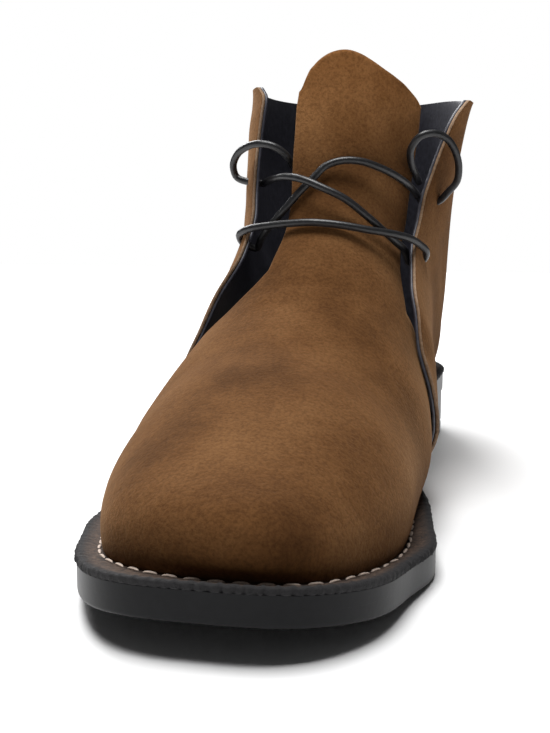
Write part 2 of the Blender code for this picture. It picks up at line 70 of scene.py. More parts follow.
camera_data = bpy.data.cameras.new("camera")
camera_data.sensor_fit = "VERTICAL"
camera_data.sensor_height = SENSOR
camera_data.lens = SENSOR * FOCAL_PIXELS / FRAME_HEIGHT
camera = add_object("camera", camera_data)
camera.location = CAMERA_PLACE
camera.rotation_euler = (math.pi / 2 - CAMERA_PITCH, 0.0, CAMERA_YAW)
bpy.context.scene.camera = camera
print(f"camera lens {camera_data.lens:.1f} mm")

# %% [markdown]
# ## Curves from short tables
# A shoemaker draws a last from a few sections and lets them run smoothly into each other.
# `smooth` does the same with the rows of a table, so a handful of numbers gives a whole form.

# %% Smooth curves, soft steps and round ends
def smooth(rows, at):
    """A table's columns as curves over its first column: between two rows each curve is the
    cubic that keeps both values and both slopes, and a row's slope is that of its neighbours."""
    rows = np.asarray(rows, float)
    keys = rows[:, 0]
    slopes = np.gradient(rows[:, 1:], keys, axis=0)
    at = np.clip(at, keys[0], keys[-1])
    left = np.clip(np.searchsorted(keys, at, side="right") - 1, 0, len(keys) - 2)
    gap = (keys[left + 1] - keys[left])[..., None]
    t = (at - keys[left])[..., None] / gap
    return (rows[left, 1:] * (2 * t**3 - 3 * t**2 + 1) + rows[left + 1, 1:] * (3 * t**2 - 2 * t**3)
            + slopes[left] * gap * (t**3 - 2 * t**2 + t) + slopes[left + 1] * gap * (t**3 - t**2))


def ease(value, start, end):
    """0 before start, 1 after end; between them three times the square less twice the cube."""
    t = np.clip((value - start) / (end - start), 0.0, 1.0)
    return t * t * (3 - 2 * t)


def rounding(distance, reach, power):
    """Width share near a round end: the root of 1 less the rest of the way to the given power."""
    t = 1 - np.clip(distance / reach, 0.0, 1.0)
    return (1 - t**power)**(1 / power)


def ridge(value, place, width):
    """A soft bell, 1 at its place and nearly 0 two widths away: e to minus the square."""
    return np.exp(-((value - place) / width)**2)


print(f"a soft step, a tenth before its end: {ease(0.9, 0.0, 1.0):.3f}")


# %% Directions and distances along a line
def unit(vectors):
    """Vectors of length 1: each one divided by the root of its summed squares."""
    return vectors / np.linalg.norm(vectors, axis=-1, keepdims=True)


def distances(line):
    """How far each point of a line is along it: the running sum of the steps before it."""
    return np.concatenate([[0.0], np.cumsum(np.linalg.norm(np.diff(line, axis=0), axis=1))])


def points_at(at, travelled, values):
    """A line's values at given distances, straight between its points."""
    return np.stack([np.interp(at, travelled, column) for column in values.T], axis=-1)


print("corner distances of a unit square:", distances(np.array([(0, 0), (1, 0), (1, 1), (0, 1)])))

# %% [markdown]
# ## The sole's line and the last
# The sole rises over the heel, lies flat at the ball and lifts at the toe. The last is the
# foot-shaped form inside a shoe while it is made. Here it is a stack of closed loops, upright
# at the toe and leaning back to level at the collar, each one a superellipse.

# %% Sizes of the sole and the last
LENGTH, BALL_WIDTH, HEEL_WIDTH, HEEL_REACH = 0.300, 0.109, 0.069, 0.038
HEEL_HEIGHT, HEEL_LENGTH, TOE_SPRING = 0.021, 0.078, 0.0105
OUTSOLE_THICKNESS, MIDSOLE_THICKNESS, WELT_THICKNESS = 0.0046, 0.0032, 0.0022
UPPER_WIDTH, ANKLE_WIDTH, INSTEP_HEIGHT, SHAFT_HEIGHT = 0.093, 0.077, 0.0823, 0.123
TUCK, WALL, LAP, STAND = 0.009, 0.0022, 0.0004, 0.0026
MEDIAL_FLARE, LATERAL_FLARE, MEDIAL_DROP, CORNER = 0.008, -0.003, 0.0045, 12.0
TONGUE_SINK, HOLE_DIAMETER, LACE_DIAMETER, CLEARANCE = 0.0015, 0.0048, 0.0028, 0.0003
HEEL_ROUNDING, TOE_ROUNDING = (0.12, 2.1), (0.34, 3.1)
WAIST, TREAD_END, SPRING_POWER = (0.22, 0.50), 0.70, 1.8
TOE_LOOPS, TOE_FULLNESS, NOSE, COLLAR = 3.0, (1.9, 2.5), 0.13, 15.0

# along, centre, heel share, ball share
SOLE_ROWS = (
    (0.00, 0.000, 1.00, 0.00), (0.12, 0.000, 1.00, 0.00), (0.22, -0.006, 0.98, 0.00),
    (0.32, -0.028, 0.88, 0.08), (0.42, -0.072, 0.60, 0.32), (0.52, -0.086, 0.27, 0.63),
    (0.62, -0.084, 0.05, 0.88), (0.70, -0.087, 0.00, 0.98), (0.76, -0.076, 0.00, 1.00),
    (0.84, -0.068, 0.00, 0.93), (0.92, -0.054, 0.00, 0.90), (1.00, -0.062, 0.00, 0.86),
)
LAST_COLUMNS = ("sole", "tuck", "back", "front", "instep", "shaft", "ball", "ankle",
                "foot", "centre", "widest", "crown", "base")
LAST_ROWS = (
    (0.977, 1.0, 0.000, 0.977, 0.340, 0.000, 1.00, 0.00, 0.000, 0.000, 0.40, 2.2, 3.2),
    (0.910, 1.0, 0.000, 0.910, 0.385, 0.000, 0.99, 0.00, -0.065, -0.061, 0.40, 2.2, 3.3),
    (0.827, 1.0, 0.000, 0.827, 0.490, 0.000, 0.995, 0.00, -0.077, -0.069, 0.38, 2.1, 3.4),
    (0.743, 1.0, 0.000, 0.745, 0.600, 0.000, 1.01, 0.00, -0.092, -0.075, 0.36, 2.0, 3.2),
    (0.660, 1.0, 0.000, 0.668, 0.680, 0.000, 1.06, 0.00, -0.120, -0.090, 0.34, 1.9, 2.8),
    (0.567, 1.0, 0.000, 0.600, 0.795, 0.000, 1.07, 0.00, -0.116, -0.080, 0.34, 1.9, 2.3),
    (0.460, 1.0, 0.000, 0.550, 0.925, 0.000, 0.72, 0.32, -0.102, -0.070, 0.37, 1.9, 2.0),
    (0.343, 1.0, 0.000, 0.512, 1.000, 0.051, 0.28, 0.67, -0.066, -0.056, 0.44, 2.0, 2.1),
    (0.210, 1.0, 0.000, 0.484, 1.000, 0.154, 0.05, 0.85, -0.028, -0.056, 0.50, 2.1, 2.4),
    (0.087, 1.0, 0.000, 0.466, 1.000, 0.234, 0.00, 0.92, -0.004, -0.060, 0.55, 2.2, 2.7),
    (0.024, 0.0, 0.036, 0.456, 1.000, 0.295, 0.00, 0.94, 0.000, -0.060, 0.58, 2.2, 2.4),
    (0.016, 0.0, 0.190, 0.449, 1.000, 0.343, 0.00, 0.96, 0.000, -0.056, 0.58, 2.2, 2.1),
    (0.020, 0.0, 0.394, 0.444, 1.000, 0.388, 0.00, 0.98, -0.010, -0.052, 0.56, 2.2, 2.0),
    (0.029, 0.0, 0.605, 0.441, 1.000, 0.429, 0.00, 1.00, -0.020, -0.046, 0.54, 2.2, 2.1),
    (0.032, 0.0, 0.810, 0.439, 1.000, 0.461, 0.00, 1.00, -0.020, -0.040, 0.52, 2.2, 2.1),
    (0.031, 0.0, 1.000, 0.438, 1.000, 0.486, 0.00, 1.00, -0.020, -0.036, 0.52, 2.2, 2.1),
    (0.027, 0.0, 1.140, 0.439, 1.000, 0.600, 0.00, 1.02, -0.020, -0.030, 0.52, 2.2, 2.1),
)

print(f"{len(LAST_ROWS)} sections of the last and {len(SOLE_ROWS)} places along the sole")


# %% Heights along the sole
def y_at(along):
    """Place along the boot of a share of its length from the back."""
    return HEEL_REACH - along * LENGTH


def tread(y):
    """Underside of the outsole: the heel's height, eased away over the waist, plus the toe's
    lift as a power of the way from the end of the tread to the tip."""
    along = (HEEL_REACH - y) / LENGTH
    heel = HEEL_HEIGHT * (1 - ease(along, *WAIST))
    lift = np.clip((along - TREAD_END) / (1 - TREAD_END), 0.0, None)**SPRING_POWER
    return heel + TOE_SPRING * lift


def midsole_bed(y):
    """The midsole lies on the outsole, with a hair of room."""
    return tread(y) + OUTSOLE_THICKNESS + CLEARANCE


def bed(y):
    """The upper, the welt and the insole stand on the midsole."""
    return midsole_bed(y) + MIDSOLE_THICKNESS + CLEARANCE


print(f"bed at the heel {bed(0.0) * 1000:.1f} mm and at the ball {bed(-0.15) * 1000:.1f} mm")


# %% The last as a function of loop and angle
def last_point(loop, angle):
    """Point of the last. A loop runs from its low to its high point; at an angle (0 medial, 90
    on the ridge, 180 lateral, 270 below) its half width and height are scaled by one over the
    root of the summed powers of cosine and sine."""
    table = np.column_stack([np.arange(len(LAST_ROWS)), np.asarray(LAST_ROWS)])
    values = smooth(table, loop)
    row = {name: values[..., i] for i, name in enumerate(LAST_COLUMNS)}
    low_y, high_y = y_at(row["sole"]), y_at(row["front"])
    low_z = bed(low_y) - row["tuck"] * TUCK + row["back"] * SHAFT_HEIGHT
    high_z = bed(high_y) + row["instep"] * INSTEP_HEIGHT + row["shaft"] * SHAFT_HEIGHT
    half = (row["ball"] * UPPER_WIDTH + row["ankle"] * ANKLE_WIDTH) / 2
    nose = bed(low_y) + NOSE * INSTEP_HEIGHT
    half = half * rounding(loop, TOE_LOOPS, TOE_FULLNESS[0])
    upwards = rounding(loop, TOE_LOOPS, TOE_FULLNESS[1])
    low_z = np.where(loop < TOE_LOOPS, nose + (low_z - nose) * upwards, low_z)
    high_z = np.where(loop < TOE_LOOPS, nose + (high_z - nose) * upwards, high_z)
    across, up = np.cos(np.radians(angle)), np.sin(np.radians(angle))
    power = np.where(up >= 0, row["crown"], row["base"])
    radius = (np.abs(across)**power + np.abs(up)**power)**(-1 / power)
    share = row["widest"] + np.where(up >= 0, 1 - row["widest"], row["widest"]) * radius * up
    middle = row["foot"] + (row["centre"] - row["foot"]) * share
    return np.stack([
        middle * UPPER_WIDTH + half * radius * across,
        low_y + (high_y - low_y) * share,
        low_z + (high_z - low_z) * share,
    ], axis=-1)


def last_normal(loop, angle, step=0.05):
    """Way out of the last: the cross product of its slopes along the loops and round them."""
    along = last_point(loop + step, angle) - last_point(loop - step, angle)
    around = last_point(loop, angle + 10 * step) - last_point(loop, angle - 10 * step)
    return unit(np.cross(along, around))


def last_shell(loop, angle, lift):
    """Point of the last moved out along its normal."""
    loop, angle, lift = np.broadcast_arrays(loop, angle, lift)
    return last_point(loop, angle) + lift[..., None] * last_normal(loop, angle)


collar_back = last_point(COLLAR, 270.0)
print(f"the collar's back is {collar_back[2] * 1000:.0f} mm up")

# %% [markdown]
# ## From grids to meshes
# A grid of points becomes a mesh when each small square of four neighbours is made a face.
# `grid_faces` does that with index arrays, and `above_bed` can leave out faces, such as those
# that would lie below the sole.

# %% A mesh from a grid
def grid_faces(rows, columns, wrap=False, first=0):
    """Corner numbers of the squares of a grid: a point, the next in its row, and the same two
    in the next row. With wrap, each row's last point is joined to its first."""
    number = first + np.arange(rows * columns).reshape(rows, columns)
    if wrap:
        number = np.concatenate([number, number[:, :1]], axis=1)
    return np.stack([number[:-1, :-1], number[:-1, 1:], number[1:, 1:], number[1:, :-1]],
                    axis=-1).reshape(-1, 4)


def mesh_piece(name, points, faces, looks, replaces=()):
    """A mesh object from points and faces, smooth, riding on the boot's one body."""
    mesh = bpy.data.meshes.new(name)
    mesh.from_pydata(points.tolist(), [], faces.tolist() if hasattr(faces, "tolist") else faces)
    for look in looks:
        mesh.materials.append(look)
    mesh.shade_smooth()
    piece = add_object(name, mesh)
    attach(piece, "root")
    if replaces:
        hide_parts(*replaces)
    print(f"{name}: {len(points)} points, {len(faces)} faces")
    return piece


def thicken(piece, thickness, inner_look=0, rim_look=0):
    """A sheet gets its thickness inwards; its inner side and its cut edge may look different."""
    wall = piece.modifiers.new("wall", "SOLIDIFY")
    wall.thickness = thickness
    wall.offset = -1.0
    wall.material_offset = inner_look
    wall.material_offset_rim = rim_look


print("a grid of 3 by 4 points has", len(grid_faces(3, 4)), "faces")

# %% [markdown]
# ## Finishes
# Suede is leather with its fibres brushed up: it has hardly any gloss, a fine grain, and cloudy
# lighter and darker patches where the nap lies one way or the other. Three sizes of noise give
# the clouds, the brushing and the grain, and a little sheen lights the nap at grazing angles.

# %% Node helpers
def node(look, kind, **inputs):
    """A node, with each input set to a number, a colour or another socket."""
    made = look.node_tree.nodes.new("ShaderNode" + kind)
    for name, value in inputs.items():
        socket = made.inputs[name.replace("_", " ")]
        if isinstance(value, bpy.types.NodeSocket):
            look.node_tree.links.new(value, socket)
        else:
            socket.default_value = value
    return made


def finish_named(name, colour, roughness, **sockets):
    """A material whose shader has a plain colour, a roughness and other fixed numbers."""
    look = bpy.data.materials.new(name)
    look.use_nodes = True
    shader = look.node_tree.nodes["Principled BSDF"]
    shader.inputs["Base Color"].default_value = (*colour, 1.0)
    shader.inputs["Roughness"].default_value = roughness
    for key, value in sockets.items():
        shader.inputs[key.replace("_", " ")].default_value = value
    return look, shader


def noise(look, size, detail, roughness):
    """Noise whose blots are about `size` metres wide: the place divided by the size."""
    place = node(look, "TexCoord").outputs["Object"]
    scaled = node(look, "Mapping", Vector=place, Scale=(1 / size, 1 / size, 1 / size))
    made = node(look, "TexNoise", Vector=scaled.outputs["Vector"], Scale=1.0, Detail=detail,
                Roughness=roughness)
    return made.outputs["Fac"]


def ramp(look, factor, *stops):
    """Colours along a factor, as place and colour."""
    made = node(look, "ValToRGB", Fac=factor)
    elements = made.color_ramp.elements
    while len(elements) < len(stops):
        elements.new(0.5)
    for element, (place, colour) in zip(elements, stops):
        element.position = place
        element.color = (*colour, 1.0)
    return made.outputs["Color"]


def mixed(look, factor, first, second, mode="MIX"):
    """Two colours mixed."""
    made = look.node_tree.nodes.new("ShaderNodeMix")
    made.data_type = "RGBA"
    made.blend_type = mode
    for socket, value in zip((made.inputs[0], made.inputs[6], made.inputs[7]),
                             (factor, first, second)):
        if isinstance(value, bpy.types.NodeSocket):
            look.node_tree.links.new(value, socket)
        elif isinstance(value, (int, float)):
            socket.default_value = value
        else:
            socket.default_value = (*value, 1.0)
    return made.outputs[2]


def bumped(look, shader, height, distance, strength=1.0, below=None):
    """Relief from a height; `below` is another relief that this one lies on."""
    made = node(look, "Bump", Height=height, Distance=distance, Strength=strength)
    if below is not None:
        look.node_tree.links.new(below, made.inputs["Normal"])
    look.node_tree.links.new(made.outputs["Normal"], shader.inputs["Normal"])
    return made.outputs["Normal"]


print("helpers for materials: node, finish_named, noise, ramp, mixed and bumped")

# %% Suede
SUEDE_DARK = (0.082, 0.034, 0.0105)
SUEDE_MIDDLE = (0.130, 0.057, 0.019)
SUEDE_LIGHT = (0.178, 0.084, 0.031)
SHADE_TOP = 0.17
# height above the floor in metres, share of the colour: below 1 is painted shade low near the welt,
# and the vamp's 2.15 is painted light on the tongue's top
VAMP_PAINTED_SHADE_AND_LIGHT = ((0.016, 0.80), (0.050, 0.92), (0.100, 1.00), (0.125, 0.93), (0.160, 2.15))
QUARTER_PAINTED_SHADE = ((0.016, 0.80), (0.060, 1.00), (0.150, 1.00))


def suede_finish(name, dark, middle, light, shades=QUARTER_PAINTED_SHADE):
    """Clouds choose the colour, brushing shifts it, the grain darkens its pits, and a ramp over the
    height paints shade low near the welt and, where its table goes above 1, light at the top."""
    look, shader = finish_named(name, middle, 0.95, Sheen_Weight=0.20, Sheen_Roughness=0.45,
                                Specular_IOR_Level=0.08)
    clouds = noise(look, 0.034, detail=3.0, roughness=0.50)
    brushing = noise(look, 0.005, detail=3.0, roughness=0.6)
    grain = noise(look, 0.0011, detail=2.0, roughness=0.75)
    nap = mixed(look, 0.18, clouds, brushing)
    colour = ramp(look, nap, (0.34, dark), (0.50, middle), (0.68, light))
    pits = ramp(look, grain, (0.32, (0.74, 0.71, 0.69)), (0.62, (1.14, 1.14, 1.14)))
    colour = mixed(look, 1.0, colour, pits, "MULTIPLY")
    # Painted shade and light by height: darker low near the welt, and on the vamp lighter at the
    # tongue's top.
    place = node(look, "SeparateXYZ", Vector=node(look, "TexCoord").outputs["Object"])
    height = node(look, "MapRange", Value=place.outputs["Z"], From_Max=SHADE_TOP)
    shade = ramp(look, height.outputs["Result"],
                 *((z / SHADE_TOP, (share, share, share)) for z, share in shades))
    colour = mixed(look, 1.0, colour, shade, "MULTIPLY")
    look.node_tree.links.new(colour, shader.inputs["Base Color"])
    shader.inputs["Sheen Tint"].default_value = (0.80, 0.48, 0.25, 1.0)
    rough = bumped(look, shader, brushing, 0.0006, 0.5)
    bumped(look, shader, grain, 0.0003, 0.8, rough)
    return look


suede = suede_finish("brown suede", SUEDE_DARK, SUEDE_MIDDLE, SUEDE_LIGHT, VAMP_PAINTED_SHADE_AND_LIGHT)
quarter_suede = suede_finish("quarter suede", SUEDE_DARK, SUEDE_MIDDLE, SUEDE_LIGHT)
raw_edge = suede_finish("raw suede edge", (0.20, 0.13, 0.08), (0.30, 0.20, 0.13),
                        (0.42, 0.30, 0.21))
print("suede and its raw edge")


# %% [markdown]
# Leather, rubber, thread and waxed cord all have a smooth body and a fine relief. What tells
# them apart is how rough they are and how large their relief is, so one helper makes them all.

# %% Lining, rubber, welt, thread, lace and insole
def plain_finish(name, colour, roughness, size, relief, contrast=0.25, **sockets):
    """A colour that noise lightens and darkens by a share, with relief from the same noise."""
    look, shader = finish_named(name, colour, roughness, **sockets)
    blots = noise(look, size, detail=4.0, roughness=0.6)
    low = tuple(c * (1 - contrast) for c in colour)
    high = tuple(c * (1 + contrast) for c in colour)
    tone = ramp(look, blots, (0.35, low), (0.65, high))
    look.node_tree.links.new(tone, shader.inputs["Base Color"])
    bumped(look, shader, blots, relief)
    return look


lining = plain_finish("black lining leather", (0.0560, 0.0560, 0.0720), 0.46, 0.0022, 0.00012)
rubber = plain_finish("black rubber", (0.0048, 0.0048, 0.0058), 0.40, 0.0030, 0.00004, 0.15,
                      Specular_IOR_Level=0.17)
thread = plain_finish("cream thread", (0.62, 0.50, 0.42), 0.75, 0.0006, 0.00012)
brown_thread = plain_finish("brown thread", (0.085, 0.048, 0.026), 0.75, 0.0006, 0.0001)
waxed_cord = plain_finish("waxed cord", (0.0125, 0.0125, 0.0140), 0.38, 0.0010, 0.00010, 0.2)
insole_leather = plain_finish("insole leather", (0.045, 0.032, 0.024), 0.62, 0.0025, 0.00012)


def welt_finish():
    """Roughed brown leather on top; dark dye soaks in from the outer edge, along the width."""
    look, shader = finish_named("rough welt", (0.05, 0.03, 0.02), 0.85)
    fibres = noise(look, 0.0016, detail=4.0, roughness=0.7)
    brown = ramp(look, fibres, (0.35, (0.018, 0.012, 0.010)), (0.52, (0.060, 0.036, 0.024)),
                 (0.72, (0.120, 0.078, 0.054)))
    width = node(look, "SeparateXYZ", Vector=node(look, "UVMap").outputs["UV"]).outputs["X"]
    soaked = node(look, "MapRange", Value=width, From_Min=0.74, From_Max=0.92).outputs["Result"]
    colour = mixed(look, soaked, brown, (0.012, 0.011, 0.012))
    look.node_tree.links.new(colour, shader.inputs["Base Color"])
    bumped(look, shader, fibres, 0.0007, 0.9)
    return look


welt_leather = welt_finish()
print("finishes:", len(bpy.data.materials))

# %% [markdown]
# ## Vamp and tongue
# The vamp is the front of the upper, and on this boot the tongue is its rear end, so both are
# one skin here with no seam between them. The skin follows the last over a grid of loops and
# angles; the tongue's rows carry on from the vamp's last row, over the angles of the throat.
# Wear shows as soft troughs pressed into the skin by bells at given places, not as random lumps.

# %% Cut edges of the vamp and the tongue
# angle, loop
VAMP_EDGE = (
    (-90.0, 6.30), (12.0, 6.30), (30.0, 6.60), (100.0, 6.60), (107.0, 6.45), (113.0, 6.05),
    (124.0, 5.60), (132.0, 5.50), (146.0, 5.66), (160.0, 5.90), (172.0, 6.30), (190.0, 6.30),
    (270.0, 6.30),
)
TONGUE_TOP = (
    (34.0, 13.9), (40.0, 14.45), (46.0, 14.90), (53.0, 15.18), (60.0, 15.38), (67.0, 15.57),
    (74.0, 15.73), (81.0, 15.82), (88.0, 15.80), (94.0, 15.70), (100.0, 15.50), (104.0, 15.28),
    (107.0, 14.85), (109.0, 14.2),
)
VAMP_ROWS, TONGUE_ROWS = 120, 96
TOE_START = 0.0005                   # the first loop, so small that its closing faces do not show
TONGUE_COLUMNS, SIDE_COLUMNS = 72, 56


def vamp_wear(loop, angle):
    """Height of the skin over the last: bells for the dents where the foot bends, the toe's
    dimple and the foot of the vamp, where it turns out to the welt."""
    dent = -0.0007 * ridge(loop, 5.15, 0.35) * ridge(angle, 96.0, 16.0)
    dent += -0.0005 * ridge(loop, 4.1, 0.30) * ridge(angle, 126.0, 14.0)
    dent += 0.0005 * ridge(loop, 3.3, 0.40) * ridge(angle, 112.0, 20.0)
    dent += -0.0004 * ridge(loop, 4.6, 0.25) * ridge(angle, 58.0, 16.0)
    dent += 0.0003 * ridge(loop, 2.2, 0.50) * ridge(angle, 70.0, 18.0)
    crease = -0.0004 * ridge(loop + 0.006 * (angle - 90), 5.75, 0.12) * ridge(angle, 80.0, 30.0)
    return dent + crease


def vamp_skin(loop, angle):
    """Outer face of the vamp and the tongue: the last, plus its wear, sunk at the tongue."""
    sink = -TONGUE_SINK * ease(loop, 6.6, 7.6)
    return last_shell(loop, angle, vamp_wear(loop, angle) + sink)


print(f"the tongue's tip is {vamp_skin(15.82, 81.0)[2] * 1000:.0f} mm up")

# %% One grid for the vamp, and more rows for the tongue
throat = np.linspace(TONGUE_TOP[0][0], TONGUE_TOP[-1][0], TONGUE_COLUMNS)
medial_side = np.linspace(-90.0, TONGUE_TOP[0][0], SIDE_COLUMNS, endpoint=False)
lateral_side = np.linspace(TONGUE_TOP[-1][0], 270.0, SIDE_COLUMNS * 5 // 4, endpoint=False)[1:]
vamp_angles = np.concatenate([medial_side, throat, lateral_side])
vamp_end = np.interp(vamp_angles, *np.asarray(VAMP_EDGE).T)
along_vamp = np.linspace(0.0, 1.0, VAMP_ROWS)[:, None]**1.6
vamp_loops = TOE_START + (vamp_end - TOE_START) * along_vamp
vamp_points = vamp_skin(vamp_loops, np.broadcast_to(vamp_angles, vamp_loops.shape))

tongue_top = smooth(TONGUE_TOP, throat)[:, 0]
tongue_base = np.interp(throat, *np.asarray(VAMP_EDGE).T)
along_tongue = np.linspace(0.0, 1.0, TONGUE_ROWS)[1:, None]
tongue_loops = tongue_base + (tongue_top - tongue_base) * along_tongue
tongue_points = vamp_skin(tongue_loops, np.broadcast_to(throat, tongue_loops.shape))
print("vamp grid", vamp_points.shape[:2], "tongue grid", tongue_points.shape[:2])

# %% Faces, without those below the bed
vamp_columns = len(vamp_angles)
vamp_count = VAMP_ROWS * vamp_columns
first_column = len(medial_side)
skin_points = np.concatenate([vamp_points.reshape(-1, 3), tongue_points.reshape(-1, 3)])
vamp_faces = grid_faces(VAMP_ROWS, vamp_columns, wrap=True)
tongue_faces = grid_faces(TONGUE_ROWS - 1, TONGUE_COLUMNS, first=vamp_count)
edge_row = (VAMP_ROWS - 1) * vamp_columns + first_column + np.arange(TONGUE_COLUMNS)
next_row = vamp_count + np.arange(TONGUE_COLUMNS)
joining = np.stack([edge_row[:-1], edge_row[1:], next_row[1:], next_row[:-1]], axis=-1)
skin_faces = np.concatenate([vamp_faces, joining, tongue_faces])


def above_bed(points, faces):
    """Faces with a corner above the bed, and points lifted to it where they would be lower."""
    floor = bed(points[:, 1]) + CLEARANCE
    kept = (points[faces, 2] > floor[faces]).any(axis=1)
    lifted = points.copy()
    lifted[:, 2] = np.maximum(points[:, 2], floor)
    return lifted, faces[kept]


def used_only(points, faces):
    """The points that some face uses, and the faces with their new numbers."""
    used, numbers = np.unique(faces, return_inverse=True)
    return points[used], numbers.reshape(faces.shape)


skin_points, skin_faces = above_bed(skin_points, skin_faces[:, ::-1])
# The first loop is drawn in to a short line, and its points are joined in pairs to close it.
facing = np.arange(vamp_columns // 2 - 1)
tip = np.stack([facing, facing + 1, vamp_columns - 2 - facing, vamp_columns - 1 - facing], axis=-1)
skin_points, skin_faces = used_only(skin_points, np.concatenate([skin_faces, tip]))
vamp_piece = mesh_piece("vamp_and_tongue", skin_points, skin_faces, (suede, lining, raw_edge),
                        replaces=("tongue",))
thicken(vamp_piece, WALL, inner_look=1, rim_look=2)

# %% [markdown]
# ## Quarters
# The quarters wrap the ankle from the side seams to the open front. A real quarter is two
# layers, suede outside and black leather inside, cut through at the front so that both show in
# its edge. Two sheets, one behind the other, give that edge its brown and its black line.

# %% Front edges of the quarters
# medial loop, medial angle, lateral loop, lateral angle
QUARTER_EDGE = (
    (5.75, 10.0, 5.85, 162.0), (5.92, 24.0, 6.03, 150.5), (6.30, 32.0, 6.35, 140.0),
    (6.80, 36.0, 6.80, 130.5), (7.50, 36.0, 7.50, 129.0), (9.00, 35.0, 9.00, 129.0),
    (11.0, 34.0, 11.0, 129.0), (13.0, 34.0, 13.0, 129.0), (15.0, 34.0, 15.0, 129.0),
)
SUEDE_LAYER = 0.0012
LINING_LAYER = WALL - SUEDE_LAYER
QUARTER_COLUMNS = 241


def quarter_grid(rows, share):
    """Loops and angles over the quarters, for rows up the front edge and shares of the way
    round from the medial edge. Near the collar both edges draw back to round the corner off."""
    table = np.asarray(QUARTER_EDGE)
    keys = np.arange(len(table))
    at = np.interp(rows, table[:, 2], keys)
    edge = smooth(np.column_stack([keys, table]), at)
    corner = 1 - np.sqrt(1 - np.clip((edge[..., 0] - COLLAR + 2) / 2, 0, 1)**2 * 0.98)
    medial = edge[..., 1] - CORNER * corner
    lateral = edge[..., 3] + CORNER * corner - 360
    loops = edge[..., 0] + (edge[..., 2] - edge[..., 0]) * share
    return loops, medial + (lateral - medial) * share


def opened(points, loops, share):
    """The front corners open outwards, more towards the collar and towards the front edge."""
    rise = ease(loops, 8.0, 15.5)**1.5
    medial = ease(share, 0.32, 0.0)**1.5
    lateral = ease(share, 0.68, 1.0)**1.5
    points = points.copy()
    points[..., 0] += rise * (MEDIAL_FLARE * medial - LATERAL_FLARE * lateral)
    points[..., 1] += rise * MEDIAL_FLARE * 0.25 * medial
    points[..., 2] -= rise * MEDIAL_DROP * medial
    return points


def quarter_wear(loops, share):
    """Soft folds round the ankle, deepest at its sides, and the seam up the back."""
    folds = -0.0007 * ridge(loops, 8.6 + 3.0 * np.abs(share - 0.5), 0.45) * ridge(share, 0.22, 0.12)
    folds += -0.0006 * ridge(loops, 9.6, 0.50) * ridge(share, 0.80, 0.12)
    folds += -0.0005 * ridge(loops, 11.3, 0.60) * ridge(share, 0.50, 0.20)
    folds += 0.0004 * ridge(loops, 12.6, 0.70) * ridge(share, 0.42, 0.14)
    seam = -0.0005 * ridge(share, 0.5, 0.0035)
    return folds + seam


def quarter_skin(rows, share, depth=0.0):
    """Point of the quarters' outer face, or `depth` inside it. They lie on the vamp at the side
    seam and stand off it at the front edge."""
    loops, angles = quarter_grid(rows, share)
    front = ease(share, 0.16, 0.0) + ease(share, 0.84, 1.0)
    stand = STAND * front * ease(loops, 5.95, 6.6)
    lift = WALL - LAP + stand + quarter_wear(loops, share) - depth
    return opened(last_shell(loops, angles, lift), loops, share)


print(f"layers of {SUEDE_LAYER * 1000:.1f} mm suede and {LINING_LAYER * 1000:.1f} mm lining")

# %% Suede and lining sheets
quarter_rows = np.concatenate([np.linspace(QUARTER_EDGE[0][2], 7.0, 22)[:-1],
                               np.linspace(7.0, 13.0, 56)[:-1],
                               13.0 + 2.0 * np.sin(np.linspace(0.0, math.pi / 2, 26))])[:, None]
quarter_share = (1 - np.cos(np.linspace(0.0, math.pi, QUARTER_COLUMNS))) / 2
quarter_share = 0.35 * quarter_share + 0.65 * np.linspace(0.0, 1.0, QUARTER_COLUMNS)


def quarter_sheet(name, depth, thickness, looks, rim_look, replaces=()):
    """One layer of the quarters."""
    grid = quarter_skin(quarter_rows, quarter_share, depth)
    faces = grid_faces(*grid.shape[:2])
    points, faces = used_only(*above_bed(grid.reshape(-1, 3), faces))
    sheet = mesh_piece(name, points, faces[:, ::-1], looks, replaces)
    thicken(sheet, thickness, rim_look=rim_look)
    return sheet


quarters = quarter_sheet("quarters", 0.0, SUEDE_LAYER, (quarter_suede, raw_edge), 1,
                         ("upper",))
quarter_lining = quarter_sheet("quarter_lining", SUEDE_LAYER + 0.00005, LINING_LAYER, (lining,),
                               0)

# %% [markdown]
# ## Lace holes
# The holes are plain punches with no metal eyelets. Each is cut with a cylinder set square to
# the wall, and the cutter is thrown away once its cut is applied.

# %% Punch the four holes
# name: row of the front edge, share of the way round from the medial edge
HOLES = {
    "medial low": (8.1, 0.036), "medial high": (10.4, 0.036),
    "lateral low": (7.7, 0.966), "lateral high": (10.0, 0.966),
}


def hole_place(name, distance=0.0):
    """Place on a hole's axis, at a distance outwards from the middle of the wall."""
    loop, share = HOLES[name]
    table = np.asarray(QUARTER_EDGE)
    edge = smooth(np.column_stack([table[:, 0], table[:, 1::2]]), np.array([loop]))[0]
    angle = edge[0] + (edge[1] - 360 - edge[0]) * share
    inner, outer = (opened(last_shell(loop, angle, lift)[None], np.array([loop]),
                           np.array([share]))[0] for lift in (0.0, WALL))
    outwards = unit(outer - inner)
    return (inner + outer) / 2 + distance * outwards, outwards


def punch(name, radius, reach, sides=24):
    """A closed cylinder on a hole's axis: a circle at each end, in the plane square to it."""
    middle, outwards = hole_place(name)
    first = unit(np.cross(outwards, (0.0, 0.0, 1.0)))
    second = np.cross(outwards, first)
    turn = np.linspace(0.0, 2 * math.pi, sides, endpoint=False)[:, None]
    circle = middle + radius * (np.cos(turn) * first + np.sin(turn) * second)
    points = np.concatenate([circle - reach * outwards, circle + reach * outwards])
    faces = grid_faces(2, sides, wrap=True)[:, ::-1].tolist()
    faces += [list(range(sides)), list(range(2 * sides - 1, sides - 1, -1))]
    return points, faces


